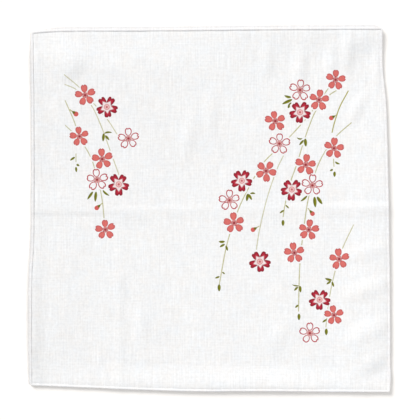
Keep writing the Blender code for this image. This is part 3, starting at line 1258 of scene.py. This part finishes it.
def whipped_gauze(cloth, hem):
    """The rolled edge: the same gauze, with a turn of white thread over each stitch."""
    material, wires, shader, place = new_material("whipped gauze")
    weave = wires.placed("gauze weave", {"Place": place, "Thread": cloth.thread})
    stitch = wires.mark("stitch", "Fac")
    thread = wires.unsigned(wires.math("SINE", wires.times(stitch, math.pi)))
    strands = wires.unsigned(wires.math("SINE", wires.times(stitch, 4 * math.pi)))
    # Painted shade: the roll's colour is made 7% darker in the hollows between the thread's turns, where
    # shade falls.
    painted_stitch_shade = wires.ramp(thread, 0.35, 0.0)
    colour = wires.paint(hem.white, [0.93 * level for level in hem.white], painted_stitch_shade)
    # Painted shade: the thread loops beside the roll, and less so its upper lip point, are darkened
    # towards black by hem.shade.
    colour = wires.paint(colour, (0, 0, 0), wires.times(wires.mark("outer", "Fac"), hem.shade))
    height = wires.plus(wires.times(strands, 0.5), wires.times(weave["Height"], 0.5))
    finish_cloth(wires, shader, weave, colour, height, 0.15 * MM)
    return material


def floor_finish():
    """A pale, very slightly uneven floor."""
    material, wires, shader, place = new_material("pale floor")
    mottle = wires.noise(place, 6, 3)
    wires.feed(shader.inputs["Base Color"], wires.paint(*FLOOR_COLOURS, mottle))
    shader.inputs["Roughness"].default_value = 0.95
    shader.inputs["Specular IOR Level"].default_value = 0
    return material


def make_groups():
    """Builds the shared node groups once."""
    for name, make in (
        ("gauze weave", weave_group),
        ("blossom", blossom_group),
        ("leaf", leaf_group),
        ("stem", stem_group),
    ):
        if name not in bpy.data.node_groups:
            make()


class LayOutCloth(bpy.types.Operator):
    """Lay out the gauze on its folds and print it"""

    bl_idname = "handkerchief.lay_out_cloth"
    bl_label = "Lay out the cloth"

    def execute(self, context):
        make_groups()
        scene = context.scene
        sizes, hem, inks = scene.cloth_sizes, scene.hem_sizes, scene.print_inks
        cloth = shown(cloth_mesh(sizes, hem), printed_gauze(sizes, inks))
        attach(cloth, CAD_BODY)
        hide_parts(CAD_NODE)
        return {"FINISHED"}


class RollHem(bpy.types.Operator):
    """Roll the cloth's edge and whip it with thread"""

    bl_idname = "handkerchief.roll_hem"
    bl_label = "Roll the hem"

    def execute(self, context):
        make_groups()
        scene = context.scene
        cloth = bpy.data.objects.get("printed_cloth")
        if cloth is None:
            raise RuntimeError("the cloth is laid out before its hem is rolled")
        sizes, hem = scene.cloth_sizes, scene.hem_sizes
        roll = shown(hem_mesh(sizes, hem), whipped_gauze(sizes, hem))
        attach(roll, CAD_BODY)
        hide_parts(CAD_NODE)
        return {"FINISHED"}


def shine(name, comes_from, strength, softness, colour, distance=None):
    """A wide light: a disc at a distance, or else a sun."""
    bearing, height = (math.radians(degrees) for degrees in comes_from)
    flat = math.cos(height)
    towards = Vector((flat * math.cos(bearing), flat * math.sin(bearing), math.sin(height)))
    kind = "AREA" if distance else "SUN"
    bpy.ops.object.light_add(type=kind, location=towards * (distance or 1))
    light = bpy.context.object
    light.name = light.data.name = name
    light.rotation_euler = towards.to_track_quat("Z", "Y").to_euler()
    light.data.color = colour
    if distance:
        light.data.shape = "DISK"
        light.data.size = 2 * distance * math.tan(softness / 2)
        light.data.energy = strength * math.pi * distance**2
    else:
        light.data.angle = softness
        light.data.energy = strength


class SetStage(bpy.types.Operator):
    """Set the floor, the light and the camera"""

    bl_idname = "handkerchief.set_stage"
    bl_label = "Set the stage"

    def execute(self, context):
        scene = context.scene
        stage = scene.stage_settings
        bpy.ops.object.select_all(action="DESELECT")
        under_cloth = (0, 0, CAD_LOW.z - FLOOR_GAP)
        bpy.ops.mesh.primitive_plane_add(size=FLOOR_SIZE, location=under_cloth)
        floor = context.object
        floor.name = floor.data.name = "floor"
        bpy.ops.object.transform_apply(location=True)
        floor.data.materials.append(floor_finish())

        shine("key light", KEY_FROM, stage.key, stage.softness, KEY_COLOUR)
        shine("fill light", FILL_FROM, stage.fill, stage.softness, FILL_COLOUR, FILL_AWAY)

        world = bpy.data.worlds.new("soft studio")
        world.use_nodes = True
        sky = world.node_tree.nodes["Background"]
        sky.inputs["Color"].default_value = (*SKY_COLOUR, 1)
        sky.inputs["Strength"].default_value = stage.sky
        scene.world = world

        optics = bpy.data.cameras.new("camera")
        optics.lens = stage.lens
        distance = stage.view_width * stage.lens / optics.sensor_width
        camera = bpy.data.objects.new("camera", optics)
        camera.location = (stage.aim_x, stage.aim_y, distance)
        scene.collection.objects.link(camera)
        scene.camera = camera
        scene.view_settings.view_transform = "Standard"
        return {"FINISHED"}


class HandkerchiefPanel(bpy.types.Panel):
    """Lists the steps that make the handkerchief"""

    bl_idname = "VIEW3D_PT_handkerchief"
    bl_label = "Printed handkerchief"
    bl_space_type = "VIEW_3D"
    bl_region_type = "UI"
    bl_category = "Handkerchief"

    def draw(self, context):
        layout = self.layout
        for step, settings in STEPS:
            box = layout.box()
            box.operator(step.bl_idname)
            for name in settings:
                for field in SETTINGS[name].__annotations__:
                    box.prop(getattr(context.scene, name), field)


STEPS = (
    (LayOutCloth, ("cloth_sizes", "print_inks")),
    (RollHem, ("hem_sizes",)),
    (SetStage, ("stage_settings",)),
)
SETTINGS = {
    "cloth_sizes": ClothSizes,
    "hem_sizes": HemSizes,
    "print_inks": PrintInks,
    "stage_settings": StageSettings,
}
CLASSES = (*SETTINGS.values(), LayOutCloth, RollHem, SetStage, HandkerchiefPanel)


def register():
    for made in CLASSES:
        bpy.utils.register_class(made)
    for name, group in SETTINGS.items():
        setattr(bpy.types.Scene, name, PointerProperty(type=group))


def unregister():
    for name in SETTINGS:
        delattr(bpy.types.Scene, name)
    for made in reversed(CLASSES):
        bpy.utils.unregister_class(made)


def main():
    register()
    bpy.ops.handkerchief.set_stage()
    bpy.ops.handkerchief.lay_out_cloth()
    bpy.ops.handkerchief.roll_hem()


if __name__ == "__main__":
    main()
